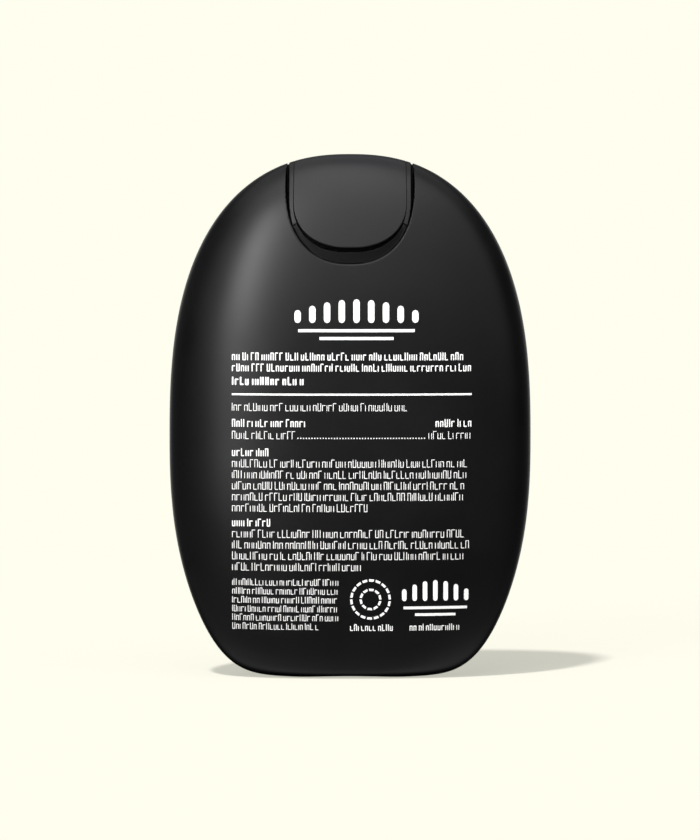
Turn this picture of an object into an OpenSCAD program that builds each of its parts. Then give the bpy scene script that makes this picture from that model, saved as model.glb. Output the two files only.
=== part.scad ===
// Face fluid bottle: a flat pebble of blown plastic with a flip-top closure let into its crown.
// Millimetres, +Z up. It stands on z = 0 and its front faces -Y.

/* [Bottle] */
// Height over the shut lid
bottle_h = 90; // [82:0.5:110]
// Width at the waist, the widest place
bottle_w = 62.3; // [54:0.1:80]
// Depth at the waist, front to back
bottle_d = 21; // [20.4:0.1:28]
// Height of the waist
waist_z = 41; // [34:0.5:48]
// Wall of the blown bottle
wall = 1.2; // [0.8:0.05:1.6]
// Thickness of the floor
floor_t = 1.6; // [1.2:0.1:3]
// How far each side draws in from the waist to the foot
foot_draw_w = 10.56; // [4:0.02:14]
// How far the front and the back draw in from the waist to the foot
foot_draw_d = 2.6; // [0:0.1:4]
// Width of the shallow arch between the two feet
arch_w = 18; // [10:0.5:20]
// Height of that arch
arch_h = 0.35; // [0.1:0.05:0.6]

/* [Form] */
// Squareness of the crown outline in the front view, up its height
crown_exp_h = 2.552; // [2:0.002:3.2]
// Squareness of the crown outline in the front view, across its width
crown_exp_w = 2.358; // [2:0.002:3]
// Squareness of the crown in the side view, up its height
side_exp_h = 3.6; // [2.8:0.1:4.4]
// Squareness of the crown in the side view, across its depth
side_exp_d = 2; // [1.8:0.05:2.4]
// How late the sides start to draw in below the waist
foot_exp_draw = 2.41; // [2:0.01:3]
// How late the foot corner starts to round
foot_exp_h = 13.6; // [9:0.1:18]
// Squareness of the foot corner
foot_exp_w = 6.19; // [4:0.01:8]
// Squareness of every level section
section_exp = 2.35; // [2:0.05:2.8]

/* [Notch and neck] */
// Depth of the notch in the crown, down to its floor
notch_depth = 18.8; // [18.2:0.1:20]
// Drop of the notch's widest place below the crown
notch_side = 4.8; // [4:0.1:6]
// How far the notch bows out there, past its seam with the closure
notch_bow = 0.35; // [0:0.05:0.6]
// Height above its widest place at which the notch's sides would meet
notch_top = 9.7; // [9:0.1:12]
// Squareness of the notch's round floor
notch_exp = 2.35; // [2:0.05:2.8]
// Seam between the notch's sides and the closure's
seam_gap = 0.2; // [0.1:0.05:0.4]
// Seam under the closure, which seats on the notch's floor
floor_gap = 0.04; // [0.02:0.01:0.1]
// Outer radius of the neck
neck_r = 5.6; // [5.2:0.1:5.8]
// Wall of the neck
neck_wall = 1.3; // [1:0.1:1.5]
// Height of the neck above the notch floor
neck_h = 6.4; // [6:0.1:6.8]
// How far the snap bead stands out from the neck
bead_out = 0.4; // [0.2:0.05:0.5]
// Height of the snap bead
bead_h = 1.2; // [0.8:0.1:1.6]
// Drop of the snap bead below the neck's rim
bead_drop = 0.7; // [0.4:0.1:1.4]

/* [Orifice plug] */
// Depth of the plug's sleeve in the neck
plug_depth = 5; // [3:0.1:7]
// Wall of the sleeve
plug_wall = 1; // [0.7:0.05:1.3]
// Width of the flange past the neck bore
flange_out = 0.9; // [0.5:0.05:1]
// Thickness of the flange
flange_t = 0.8; // [0.6:0.05:1]
// Height of the spout above the flange
spout_h = 3.4; // [2.8:0.1:3.8]
// Outer radius of the spout at its root
spout_r = 2.6; // [2.3:0.1:3]
// How much slimmer the spout is at its lip
spout_taper = 0.35; // [0.2:0.05:0.5]
// Radius of the orifice
orifice_r = 1.2; // [0.8:0.05:1.4]

/* [Closure base] */
// Width of the closure over its two side strips
closure_w = 20.9; // [19:0.1:22]
// Thickness of the deck
deck_t = 1.1; // [0.8:0.1:1.4]
// Thickness of the rear wall
rear_t = 1.2; // [0.9:0.05:1.3]
// Height of the closure's straight sides, from the crown down
closure_side = 7; // [6:0.1:9]
// Thickness of the web round the closure's middle that fills the seam
seat_t = 1.2; // [0.8:0.1:2]
// Depth of that web below the crown
seat_in = 0.25; // [0.1:0.05:0.5]
// Depth of the base's front face under the lid's apron
scoop_in = 1.5; // [1.45:0.05:1.8]
// Depth of its flat face in the finger scoop, behind the notch's front edge
shelf_in = 1.95; // [1.6:0.05:2.1]
// Height of the slot for a fingernail under the lid
nail_gap = 0.85; // [0.5:0.05:1]
// Depth of that slot behind the flat face
nail_in = 1; // [0.5:0.05:1.1]
// Rise of the slot behind the lid's front edge
nail_rise = 1.2; // [0.8:0.1:1.4]
// Thickness of the front wall behind the slot
front_t = 0.8; // [0.6:0.05:1]
// Width of the strips that stand flush on both sides of the lid
strip_w = 0.78; // [0.5:0.02:1]
// Thickness of the skirt's two sides
skirt_t = 1; // [0.8:0.05:1.2]
// Height of the strips' lower ends, below the crown
strip_drop = 12.45; // [11.5:0.05:13]
// Rise of those ends toward the lid, per millimetre
strip_slope = 0.5; // [0.2:0.05:0.8]
// Wall of the collar round the neck
collar_t = 0.9; // [0.6:0.05:1.2]
// Clearance of the collar on the neck
collar_gap = 0.08; // [0.05:0.01:0.15]
// Depth of the drip dish round the spout
dish_depth = 0.3; // [0.1:0.05:0.5]
// Radius of the drip dish
dish_r = 5; // [4:0.1:5.4]

/* [Flip lid] */
// Drop of the lid's front edge below the crown
lid_drop = 16.15; // [15:0.05:16.6]
// Height of the lid's straight side edges, from the crown down
lid_side = 8; // [7:0.1:9]
// Squareness of the lid's round lower edge
lid_exp = 2.3; // [2:0.05:2.8]
// Wall of the lid
lid_wall = 1.3; // [1:0.05:1.35]
// Wall of the lid's two sides
lid_side_wall = 1.15; // [0.8:0.05:1.4]
// Gap round the edge of the lid
lid_gap = 0.12; // [0.08:0.01:0.2]
// Gap between the lid's sides and the deck
deck_gap = 0.2; // [0.1:0.05:0.4]
// Radius of the seal post over the spout
post_r = 2; // [1.6:0.1:2.4]
// Gap between the seal post and the spout's lip
post_gap = 0.15; // [0.1:0.05:0.3]
// Length of the seal pin in the orifice
pin_len = 1.2; // [0.8:0.1:1.6]
// Clearance of the seal pin in the orifice
pin_gap = 0.06; // [0.04:0.01:0.1]
// Width of the catch behind the lid's front edge
catch_w = 6.4; // [4:0.1:8]
// How far the catch stands out from the front wall
catch_out = 0.45; // [0.35:0.05:0.5]
// Height of the catch
catch_h = 0.5; // [0.4:0.05:0.7]
// Drop of the catch below the deck's top
catch_drop = 2.6; // [2.2:0.1:3]
// Clearance of the catch in its groove
catch_gap = 0.2; // [0.1:0.05:0.3]

/* [Hinge] */
// Drop of the hinge line below the crown
hinge_drop = 8; // [7.8:0.1:8.6]
// Height of the gap that the hinge webs cross
hinge_gap = 1; // [0.8:0.05:1.2]
// Thickness of the hinge webs
web_t = 0.35; // [0.25:0.05:0.5]
// Depth of the hinge webs under the rear face
web_in = 0.1; // [0.05:0.01:0.2]
// Width of each hinge web
web_w = 5; // [3:0.1:5.4]
// Gap between a hinge web and the lid's edge
web_edge = 1; // [0.6:0.1:1.6]
// Width of the snap strap
strap_w = 4.2; // [2.4:0.1:4.6]
// Length of the snap strap
strap_len = 3.4; // [2.6:0.1:3.8]
// Thickness of the snap strap
strap_t = 0.5; // [0.3:0.05:0.7]
// Gap each side of the snap strap in its window
strap_gap = 0.25; // [0.15:0.05:0.4]

/* [Mixing ball] */
// Diameter of the ball, small enough to drop in through the neck
ball_d = 6.35; // [4:0.05:7.2]
// Clearance under the ball
ball_gap = 0.03; // [0.01:0.01:0.1]

/* [Hidden] */

// Segments of the level sections, outside and inside, and of the crown surfaces under the lid
skin_seg = 56;
core_seg = 32;
// Rings below and above the waist
foot_rings = 13;
crown_rings = 15;
// How strongly the rings below the waist gather toward the foot
foot_crowd = 2.2;
// How far the foot corner's curve would run on below the table
foot_sink = 0.1;
// Segments of the round floor of the notch and of the lid's edge
tongue_seg = 28;
// Overshoot of cuts past the faces that they open
over = 1;
far = bottle_w;
// Chamfer of the spout's lip, the orifice and the seal pin
lip = 0.3;

crown_h = bottle_h - waist_z;
notch_z = bottle_h - notch_depth;
neck_top = notch_z + neck_h;
bore_r = neck_r - neck_wall;
bead_z = neck_top - bead_drop - bead_h;
plug_z = neck_top - plug_depth;
deck_z = neck_top + flange_t;
deck_top = deck_z + deck_t;
spout_z = deck_z + spout_h;
hinge_z = bottle_h - hinge_drop;
rear_top = hinge_z - hinge_gap / 2;
lid_rear_z = hinge_z + hinge_gap / 2;
lid_low_z = deck_top + deck_gap;
collar_r = neck_r + collar_gap;
groove_r = collar_r + bead_out;
catch_z = deck_top - catch_drop;
strip_z = bottle_h - strip_drop;
lid_z = bottle_h - lid_drop;
shelf_y = half_d(notch_z, 0) - shelf_in;
lid_half = closure_w / 2 - strip_w - lid_gap;
post_top = bottle_h - lid_wall + lip;

// Half width and half depth of the pebble at a height, drawn in evenly by an inset
function crown_t(z, inset) = min(1, (z - waist_z) / (crown_h - inset));
function foot_t(z, inset) = (waist_z - z) / (waist_z + foot_sink - inset);
function foot_round(t) = pow(1 - pow(t, foot_exp_h), 1 / foot_exp_w);
function half_w(z, inset) = z > waist_z
    ? (bottle_w / 2 - inset) * pow(1 - pow(crown_t(z, inset), crown_exp_h), 1 / crown_exp_w)
    : (bottle_w / 2 - inset - foot_draw_w * pow(foot_t(z, inset), foot_exp_draw))
        * foot_round(foot_t(z, inset));
function half_d(z, inset) = z > waist_z
    ? (bottle_d / 2 - inset) * pow(1 - pow(crown_t(z, inset), side_exp_h), 1 / side_exp_d)
    : (bottle_d / 2 - inset - foot_draw_d * pow(foot_t(z, inset), foot_exp_draw))
        * foot_round(foot_t(z, inset));

// A superellipse's point at an angle
function super_x(a, angle, e) = a * sign(cos(angle)) * pow(abs(cos(angle)), 2 / e);
function super_y(b, angle, e) = b * sign(sin(angle)) * pow(abs(sin(angle)), 2 / e);
function section(z, inset, seg) = [
    for (j = [0:seg - 1])
        [super_x(half_w(z, inset), 360 * j / seg, section_exp),
         super_y(half_d(z, inset), 360 * j / seg, section_exp), z]
];

// Heights of the rings, crowded toward the foot below and evenly round the crown above
function foot_levels(low) = [
    for (i = [0:foot_rings]) low + (waist_z - low) * pow(i / foot_rings, foot_crowd)
];
function crown_levels(inset) = [
    for (i = [1:crown_rings - 1])
        waist_z + (crown_h - inset) * pow(sin(90 * i / crown_rings), 2 / crown_exp_h)
];

// A closed skin through level sections, flat below and coming to a point at the crown
module skin(levels, inset, seg) {
    rings = len(levels);
    last = rings * seg;
    points = concat([for (z = levels) each section(z, inset, seg)], [[0, 0, bottle_h - inset]]);
    sides = [
        for (i = [0:rings - 2], j = [0:seg - 1])
            let (k = (j + 1) % seg, a = i * seg)
                each [[a + j, a + seg + j, a + seg + k], [a + j, a + seg + k, a + k]]
    ];
    cap = [for (j = [0:seg - 1]) [(rings - 1) * seg + j, last, (rings - 1) * seg + (j + 1) % seg]];
    polyhedron(points, concat([[for (j = [0:seg - 1]) j]], sides, cap), convexity = 4);
}

// The whole pebble, and its crown from just below a height up
module pebble(inset, low, seg) {
    skin(concat(foot_levels(low), crown_levels(inset)), inset, seg);
}
module crown(inset, seg = core_seg, low = notch_z) {
    levels = crown_levels(inset);
    under = [for (z = levels) if (z < low) z];
    skin([for (z = levels) if (z >= under[len(under) - 1]) z], inset, seg);
}

// The notch through the bottle from front to back: a superellipse that is widest near the crown
module notch_tongue(inset) {
    half = closure_w / 2 + seam_gap + notch_bow - inset;
    centre_z = bottle_h - notch_side;
    outline = [
        for (i = [0:2 * tongue_seg - 1])
            let (angle = 180 + 180 * i / tongue_seg,
                 reach = angle < 360 ? centre_z - notch_z - inset : notch_top - inset)
                [super_x(half, angle, notch_exp), centre_z + super_y(reach, angle, notch_exp)]
    ];
    rotate([90, 0, 0]) linear_extrude(far, center = true) polygon(outline);
}

// A tongue through the bottle from front to back, round below and straight above
module tongue(half, low, side, e) {
    centre_z = bottle_h - side;
    floor_curve = [
        for (i = [0:tongue_seg])
            let (angle = 180 + 180 * i / tongue_seg)
                [super_x(half, angle, e), centre_z + super_y(centre_z - low, angle, e)]
    ];
    rotate([90, 0, 0])
        linear_extrude(far, center = true)
            polygon(concat(floor_curve, [[half, bottle_h + over], [-half, bottle_h + over]]));
}
module closure_tongue() {
    intersection() {
        notch_tongue(floor_gap);
        tongue(closure_w / 2, notch_z, closure_side, notch_exp);
    }
}
module lid_tongue() {
    tongue(lid_half, lid_z, lid_side, lid_exp);
}

// The opening that the lid shuts, wider than the lid below by the slot for a fingernail
module lid_opening() {
    tongue(lid_half + lid_gap, lid_z - nail_gap, lid_side, lid_exp);
}

// Slabs between two heights, in front of or behind a plane
module slab(z0, z1) {
    translate([-far / 2, -far / 2, z0]) cube([far, far, z1 - z0]);
}
module front_half() {
    translate([-far / 2, -far, 0]) cube([far, far, bottle_h + over]);
}
module rear_half() {
    translate([-far / 2, 0, 0]) cube([far, far, bottle_h + over]);
}
module band(x0, x1, z0, z1) {
    translate([x0, -far / 2, z0]) cube([x1 - x0, far, z1 - z0]);
}

// Everything behind a distance in front of the neck's axis
module behind(distance) {
    translate([-far / 2, -distance, 0]) cube([far, far, bottle_h + over]);
}

module neck() {
    translate([0, 0, notch_z - wall]) cylinder(h = neck_h + wall, r = neck_r, $fn = 96);
    rotate_extrude($fn = 96)
        polygon([[bore_r, bead_z], [neck_r, bead_z], [neck_r + bead_out, bead_z + bead_out],
                 [neck_r + bead_out, bead_z + bead_h / 2], [neck_r, bead_z + bead_h],
                 [bore_r, bead_z + bead_h]]);
}

module bottle_core() {
    difference() {
        pebble(wall, floor_t, core_seg);
        notch_tongue(-wall);
    }
    translate([0, 0, notch_z - 2 * wall]) cylinder(h = neck_h + 2 * wall + over, r = bore_r, $fn = 96);
}

module foot_arch() {
    arch_r = (arch_w * arch_w / 4 + arch_h * arch_h) / (2 * arch_h);
    translate([0, 0, arch_h - arch_r])
        rotate([90, 0, 0]) cylinder(h = far, r = arch_r, center = true, $fn = 360);
}

module bottle_body() {
    color([0.17, 0.17, 0.18])
        difference() {
            union() {
                difference() {
                    pebble(0, 0, skin_seg);
                    notch_tongue(0);
                }
                neck();
            }
            bottle_core();
            foot_arch();
        }
}

module orifice_plug() {
    sleeve_r = bore_r - plug_wall;
    color([0.85, 0.85, 0.84])
        rotate_extrude($fn = 96)
            polygon([
                [sleeve_r, plug_z], [bore_r - lip / 2, plug_z], [bore_r, plug_z + 2 * lip],
                [bore_r, neck_top], [bore_r + flange_out, neck_top], [bore_r + flange_out, deck_z],
                [spout_r, deck_z], [spout_r - spout_taper, spout_z - lip],
                [spout_r - spout_taper - lip, spout_z], [orifice_r + lip, spout_z],
                [orifice_r, spout_z - lip], [orifice_r, neck_top],
                [sleeve_r, neck_top - (sleeve_r - orifice_r) / 2]
            ]);
}

// Everything in front of the recessed face: the lid's apron, the slot and the finger scoop
module scoop() {
    half = closure_w / 2 + over;
    inner = lid_half - over / 2;
    inner_z = strip_z + (closure_w / 2 - inner) * strip_slope;
    outer_z = strip_z - over * strip_slope;
    difference() {
        intersection() {
            union() {
                lid_opening();
                rotate([90, 0, 0])
                    linear_extrude(far, center = true)
                        polygon([[-half, 0], [half, 0], [half, outer_z], [inner, inner_z],
                                 [-inner, inner_z], [-half, outer_z]]);
            }
            front_half();
        }
        intersection() {
            crown(scoop_in, skin_seg);
            behind(shelf_y);
        }
    }
    difference() {
        intersection() {
            lid_opening();
            slab(notch_z, lid_z + nail_rise);
            front_half();
        }
        behind(shelf_y - nail_in);
    }
}

// The room that the lid's hood takes above the deck
module lid_room() {
    intersection() {
        lid_opening();
        union() {
            slab(rear_top, bottle_h + over);
            intersection() {
                crown(rear_t);
                slab(deck_top, bottle_h);
            }
        }
    }
}

// The skirt, open below round the collar, and the bore that snaps over the neck
module closure_core() {
    half = closure_w / 2 - skirt_t;
    difference() {
        intersection() {
            union() {
                intersection() {
                    crown(scoop_in + front_t);
                    behind(shelf_y - nail_in - front_t);
                }
                intersection() {
                    crown(rear_t);
                    rear_half();
                }
            }
            band(-half, half, 0, deck_z);
        }
        cylinder(h = deck_top, r = groove_r + collar_t, $fn = 96);
    }
    translate([0, 0, notch_z - over]) cylinder(h = bead_z - notch_z + over, r = collar_r, $fn = 96);
    translate([0, 0, bead_z]) cylinder(h = deck_z - bead_z, r = groove_r, $fn = 96);
    translate([0, 0, deck_z - over]) cylinder(h = deck_t + 2 * over, r = spout_r + collar_gap, $fn = 96);
    translate([0, 0, deck_top - dish_depth]) cylinder(h = over, r = dish_r, $fn = 96);
}

module strap_window() {
    half = strap_w / 2 + strap_gap;
    intersection() {
        band(-half, half, hinge_z - strap_len / 2, hinge_z + strap_len / 2);
        rear_half();
    }
}

module catch() {
    intersection() {
        crown(scoop_in - catch_out);
        band(-catch_w / 2, catch_w / 2, catch_z, catch_z + catch_h);
        front_half();
    }
}

// The web that fills the seam round the closure's middle, so that no light falls through
module seat_web() {
    intersection() {
        crown(seat_in, skin_seg);
        notch_tongue(0);
        translate([-far / 2, -seat_t / 2, notch_z]) cube([far, seat_t, notch_depth]);
    }
}

module closure_base() {
    color([0.21, 0.21, 0.22])
        difference() {
            union() {
                difference() {
                    union() {
                        intersection() {
                            crown(0, skin_seg);
                            closure_tongue();
                        }
                        seat_web();
                    }
                    lid_room();
                    scoop();
                }
                catch();
            }
            closure_core();
            strap_window();
        }
}

// Room under the lid's hood, and under its sides where they rise toward the hinge
module hood_room() {
    half = lid_half - lid_side_wall;
    rear_y = half_d(lid_rear_z, lid_wall);
    intersection() {
        crown(lid_wall);
        union() {
            band(-half, half, 0, bottle_h);
            rotate([90, 0, 90])
                linear_extrude(far, center = true)
                    polygon([[-far, 0], [far, 0], [far, lid_rear_z], [rear_y, lid_rear_z],
                             [0, lid_low_z], [-far, lid_low_z]]);
        }
    }
}

// The groove behind the front edge that snaps over the catch
module catch_groove() {
    half = catch_w / 2 + catch_gap;
    intersection() {
        band(-half, half, catch_z - catch_gap, catch_z + catch_h + catch_gap);
        crown(scoop_in - catch_out - catch_gap);
        front_half();
    }
}

module seal_post() {
    pin_r = orifice_r - pin_gap;
    pin_z = spout_z - pin_len;
    rotate_extrude($fn = 64)
        polygon([[0, pin_z], [pin_r - lip, pin_z], [pin_r, spout_z - lip], [pin_r, spout_z + post_gap],
                 [post_r, spout_z + post_gap], [post_r, post_top], [0, post_top]]);
}

module flip_lid() {
    color([0.27, 0.27, 0.28]) {
        difference() {
            intersection() {
                crown(0, skin_seg);
                lid_tongue();
            }
            hood_room();
            difference() {
                intersection() {
                    rear_half();
                    slab(0, lid_rear_z);
                }
                crown(max(rear_t + deck_gap, lid_wall));
            }
            catch_groove();
            strap_window();
        }
        seal_post();
    }
}

// A thin sheet under the rear face
module rear_sheet(inset, thick) {
    intersection() {
        difference() {
            crown(inset, low = hinge_z - strap_len);
            crown(inset + thick, low = hinge_z - strap_len);
        }
        rear_half();
        children();
    }
}

module film_hinge() {
    outer = lid_half - web_edge;
    color([0.24, 0.24, 0.25])
        rear_sheet(web_in, web_t)
            for (side = [-1, 1])
                band(min(side * outer, side * (outer - web_w)), max(side * outer, side * (outer - web_w)),
                     rear_top, lid_rear_z);
}

module snap_strap() {
    color([0.24, 0.24, 0.25])
        rear_sheet(web_in, strap_t)
            band(-strap_w / 2, strap_w / 2, hinge_z - strap_len / 2, hinge_z + strap_len / 2);
}

module mixing_ball() {
    color([0.78, 0.79, 0.8])
        translate([0, 0, floor_t + ball_gap + ball_d / 2]) sphere(d = ball_d, $fn = 64);
}

bottle_body();
orifice_plug();
closure_base();
flip_lid();
film_hinge();
snap_strap();
mixing_ball();
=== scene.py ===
"""Dresses a flat black face fluid bottle with a flip-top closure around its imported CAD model.

The moulded pieces are smooth closed meshes, drawn from the same form as the solids: a pebble
with superellipse sections, a tongue-shaped notch in its crown, and a closure let into the notch.
Lengths are in millimetres until a mesh is made, and Blender's objects are in metres.
"""

import logging
import math
import random
from collections.abc import Callable, Iterable, Sequence
from dataclasses import dataclass, field
from enum import Enum

import bpy
import numpy as np
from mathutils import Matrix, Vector


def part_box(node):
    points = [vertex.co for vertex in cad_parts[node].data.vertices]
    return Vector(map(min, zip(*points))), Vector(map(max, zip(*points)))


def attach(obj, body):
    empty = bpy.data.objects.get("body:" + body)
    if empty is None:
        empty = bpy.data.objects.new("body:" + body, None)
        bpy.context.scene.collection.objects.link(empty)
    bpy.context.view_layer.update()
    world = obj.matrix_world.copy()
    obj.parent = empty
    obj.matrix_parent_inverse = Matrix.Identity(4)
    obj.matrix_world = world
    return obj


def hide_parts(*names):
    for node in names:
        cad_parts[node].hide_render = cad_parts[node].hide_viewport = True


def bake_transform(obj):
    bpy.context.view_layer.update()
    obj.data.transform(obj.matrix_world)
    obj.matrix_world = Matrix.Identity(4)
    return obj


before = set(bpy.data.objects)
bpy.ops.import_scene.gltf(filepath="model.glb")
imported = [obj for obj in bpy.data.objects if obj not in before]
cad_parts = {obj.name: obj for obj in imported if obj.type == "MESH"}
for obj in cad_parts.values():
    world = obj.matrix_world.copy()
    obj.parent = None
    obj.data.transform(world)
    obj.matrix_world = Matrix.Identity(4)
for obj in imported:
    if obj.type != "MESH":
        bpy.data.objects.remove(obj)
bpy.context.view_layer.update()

LOG = logging.getLogger("bottle")
MM = 0.001

Array = np.ndarray
Field = Callable[[Array, Array, Array], Array]


class Body(Enum):
    """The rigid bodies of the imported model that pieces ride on."""

    BOTTLE = "bottle"
    LID = "lid"
    BALL = "ball"


# Fields: negative inside a solid, and close to millimetres near its surface


def meet(a: Array, b: Array, edge: float = 0.0) -> Array:
    """Intersects two solids and rounds the edge that they make.

    Args:
        a: Field of one solid.
        b: Field of the other.
        edge: Radius of the rounded edge.

    Returns:
        The field of what lies in both.
    """
    u, v = a + edge, b + edge
    outside = np.hypot(np.maximum(u, 0.0), np.maximum(v, 0.0))
    return np.minimum(np.maximum(u, v), 0.0) + outside - edge


def join(a: Array, b: Array, fillet: float = 0.0) -> Array:
    """Joins two solids and fills the corner between them.

    Args:
        a: Field of one solid.
        b: Field of the other.
        fillet: Radius of the fillet.

    Returns:
        The field of both together.
    """
    return -meet(-a, -b, fillet)


def carve(a: Array, b: Array, edge: float = 0.0) -> Array:
    """Cuts solid b out of solid a, with a rounded edge of the given radius."""
    return meet(a, -b, edge)


def slab(w: Array, low: float, high: float) -> Array:
    """Field of the space between two parallel planes across one coordinate."""
    return np.maximum(low - w, w - high)


def drum(x: Array, y: Array, radius: float) -> Array:
    """Field of an endless upright cylinder round the neck's axis."""
    return np.hypot(x, y) - radius


@dataclass(frozen=True)
class Pebble:
    """The bottle's outer form, and the same form drawn in evenly by an inset.

    Level sections are superellipses. Their half width and half depth follow one curve above
    the waist and another below it.
    """

    height: float
    width: float
    depth: float
    waist_z: float = 41.0
    foot_draw_w: float = 10.64
    foot_draw_d: float = 2.6
    foot_sink: float = 0.05
    crown_exp_h: float = 2.616
    crown_exp_w: float = 2.352
    side_exp_h: float = 3.6
    side_exp_d: float = 2.0
    foot_exp_draw: float = 2.52
    foot_exp_h: float = 13.6
    foot_exp_w: float = 7.74
    section_exp: float = 2.35
    foot_end: float = 0.9995
    foot_steep: float = 40.0
    slope_step: float = 0.05

    def _levels(self, z: Array, inset: float) -> tuple[Array, Array]:
        """Works out what each level section depends on.

        Args:
            z: Heights.
            inset: How far the form is drawn in.

        Returns:
            The section's size, as a share of the waist's raised to the section's exponent, and
            the factor by which the depth term is stretched there.
        """
        n, tiny = self.section_exp, 1e-4
        half_w, half_d = self.width / 2 - inset, self.depth / 2 - inset
        up = np.maximum(z - self.waist_z, 0.0) / (self.height - self.waist_z - inset)
        left = 1.0 - up**self.crown_exp_h
        depth_left = np.maximum(1.0 - up**self.side_exp_h, tiny)
        size_up = np.sign(left) * np.abs(left) ** (n / self.crown_exp_w)
        stretch_up = np.maximum(left, tiny) ** (n / self.crown_exp_w)
        stretch_up = stretch_up / depth_left ** (n / self.side_exp_d)
        down = np.maximum(self.waist_z - z, 0.0) / (self.waist_z + self.foot_sink - inset)
        near = np.minimum(down, self.foot_end)
        draw = near**self.foot_exp_draw
        share_w = 1.0 - self.foot_draw_w * draw / half_w
        share_d = 1.0 - self.foot_draw_d * draw / half_d
        corner = (1.0 - near**self.foot_exp_h) ** (n / self.foot_exp_w)
        size_down = share_w**n * corner - self.foot_steep * (down - near)
        above = z > self.waist_z
        return np.where(above, size_up, size_down), np.where(above, stretch_up, (share_w / share_d) ** n)

    def field(self, x: Array, y: Array, z: Array, inset: float = 0.0) -> Array:
        """Field of the form, drawn in by an inset.

        Args:
            x: Coordinates across.
            y: Coordinates from front to back.
            z: Heights.
            inset: How far the form is drawn in.

        Returns:
            The field, divided by its own slope so that it is close to a distance.
        """
        n, step = self.section_exp, self.slope_step
        half_w, half_d = self.width / 2 - inset, self.depth / 2 - inset
        size, stretch = self._levels(z, inset)
        size_up, stretch_up = self._levels(z + step, inset)
        size_down, stretch_down = self._levels(z - step, inset)
        across, deep = np.abs(x) / half_w, np.abs(y) / half_d
        value = across**n + deep**n * stretch - size
        slope_z = (deep**n * (stretch_up - stretch_down) - (size_up - size_down)) / (2 * step)
        slope_x = n * across ** (n - 1) / half_w
        slope_y = n * deep ** (n - 1) * stretch / half_d
        slope = np.sqrt(slope_x**2 + slope_y**2 + slope_z**2 + 1e-6)
        return np.clip(value / slope, -20.0, 20.0)

    def depth_at(self, x: Array, z: Array, inset: float = 0.0) -> Array:
        """Distance of the surface from the middle plane, at a place in the front view."""
        size, stretch = self._levels(np.asarray(z, float), inset)
        across = np.abs(np.asarray(x, float)) / (self.width / 2 - inset)
        left = np.maximum(size - across**self.section_exp, 0.0) / stretch
        return (self.depth / 2 - inset) * left ** (1 / self.section_exp)


@dataclass(frozen=True)
class Tongue:
    """A tongue through the bottle from front to back, round below and straight or round above."""

    half: float
    low: float
    centre_z: float
    exponent: float
    rise: float = math.inf

    def field(self, x: Array, z: Array, grow: float = 0.0) -> Array:
        """Field of the tongue, grown outward by a gap.

        Args:
            x: Coordinates across.
            z: Heights.
            grow: How much wider and deeper the tongue is on every side.

        Returns:
            The field, divided by its own slope.
        """
        n, half, drop = self.exponent, self.half + grow, self.centre_z - self.low + grow
        across = np.abs(x) / half
        away = np.maximum((self.centre_z - z) / drop, (z - self.centre_z) / (self.rise + grow))
        reach = np.maximum((across**n + away**n) ** (1 / n), 1e-6)
        slope_x = (across / reach) ** (n - 1) / half
        slope_z = (away / reach) ** (n - 1) / np.where(z < self.centre_z, drop, self.rise + grow)
        return (reach - 1.0) / np.sqrt(slope_x**2 + slope_z**2 + 1e-9)


# Meshes


def graded(*spans: tuple[float, float, float]) -> Array:
    """Grid lines through spans that follow each other.

    Args:
        spans: Start, end and spacing of each span.

    Returns:
        The lines' places, in order.
    """
    parts = [np.linspace(a, b, max(2, round((b - a) / step) + 1)) for a, b, step in spans]
    return np.unique(np.round(np.concatenate(parts), 6))


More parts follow.
